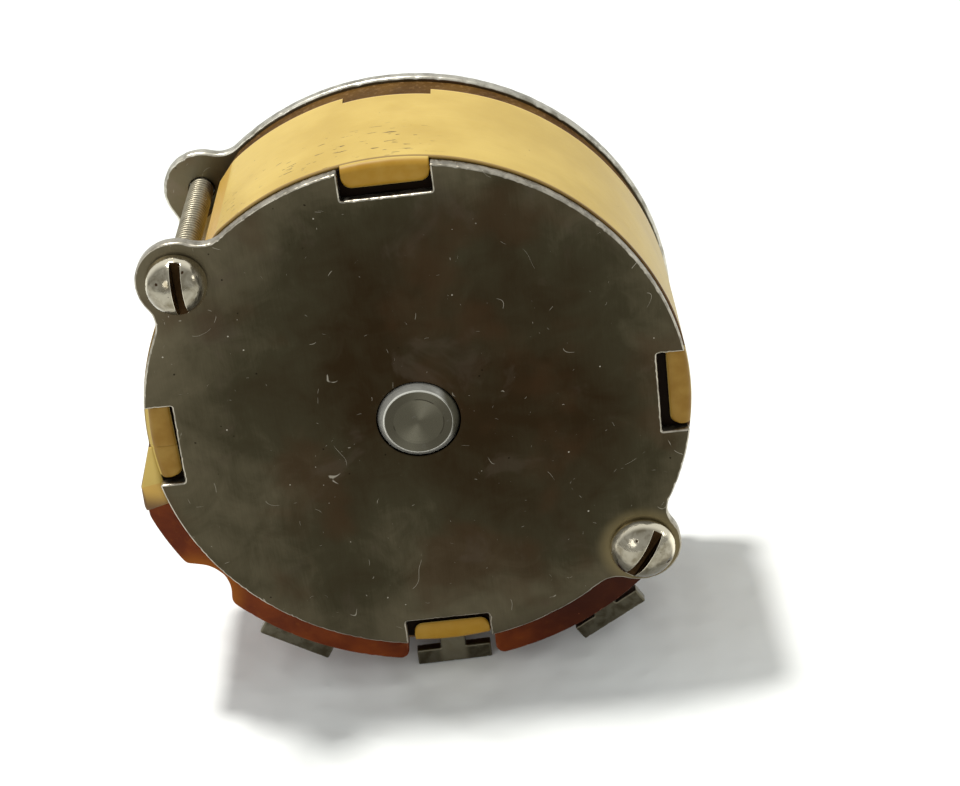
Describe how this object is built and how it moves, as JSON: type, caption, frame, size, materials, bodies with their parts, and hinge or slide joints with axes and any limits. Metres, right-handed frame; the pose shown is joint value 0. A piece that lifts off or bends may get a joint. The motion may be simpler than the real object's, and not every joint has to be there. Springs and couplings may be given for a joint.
{
  "type": "wirewound potentiometer",
  "caption": "Round single-turn wirewound potentiometer with two screwed end plates, a threaded panel bushing, a plain shaft and three T-shaped solder terminals.",
  "frame": {"origin": "on the shaft axis, in the plane of the front plate's mounting face", "axes": "+Y along the shaft axis towards the shaft's tip, +Z away from the solder terminals, +X to the right when the rear plate is looked at"},
  "size_m": [0.0439, 0.0438, 0.046],
  "materials": {
    "plate_nickel": "aged satin nickel plate, finely brushed, smudged and scratched",
    "bright_nickel": "bright nickel plate, slightly tarnished",
    "lug_plating": "dull tinned plating with solder on the centre lug",
    "brass": "nickel-washed machined brass",
    "steel": "turned stainless steel",
    "brown_phenolic": "moulded brown phenolic",
    "red_phenolic": "red-brown phenolic fibre, satin",
    "yellow_film": "satin yellow insulating film with dirt specks",
    "card": "varnished card",
    "resistance_wire": "close-wound enamelled resistance wire",
    "bronze": "phosphor bronze strip"
  },
  "bodies": {
    "root": {"front_plate": "plate_nickel", "rear_plate": "plate_nickel", "mounting_bushing": "brass", "locating_key": "plate_nickel", "housing_ring": "brown_phenolic", "insulating_wrap": "yellow_film", "terminal_block": "red_phenolic", "terminal_left": "lug_plating", "terminal_centre": "lug_plating", "terminal_right": "lug_plating", "element_card": "card", "element_winding": "resistance_wire", "end_clip_left": "bright_nickel", "end_clip_right": "bright_nickel", "end_lead_left": "bright_nickel", "end_lead_right": "bright_nickel", "collector_brush": "bronze", "brush_contact": "bright_nickel", "tie_screw_upper": "bright_nickel", "tie_screw_lower": "bright_nickel", "stop_post": "steel", "thrust_washer": "bronze"},
    "rotor": {"shaft": "steel", "retaining_ring": "steel", "rotor_hub": "brown_phenolic", "hub_screw": "steel", "stop_arm": "steel", "wiper_arm": "bronze", "wiper_contact": "bright_nickel", "wiper_rivets": "brass", "collector_ring": "brass", "collector_link": "brass"}
  },
  "joints": [
    {"name": "shaft_turn", "type": "hinge", "parent": "root", "child": "rotor", "pos_m": [0, 0, 0], "axis": [0, 1, 0], "range_deg": [-148.5, 148.5]}
  ]
}
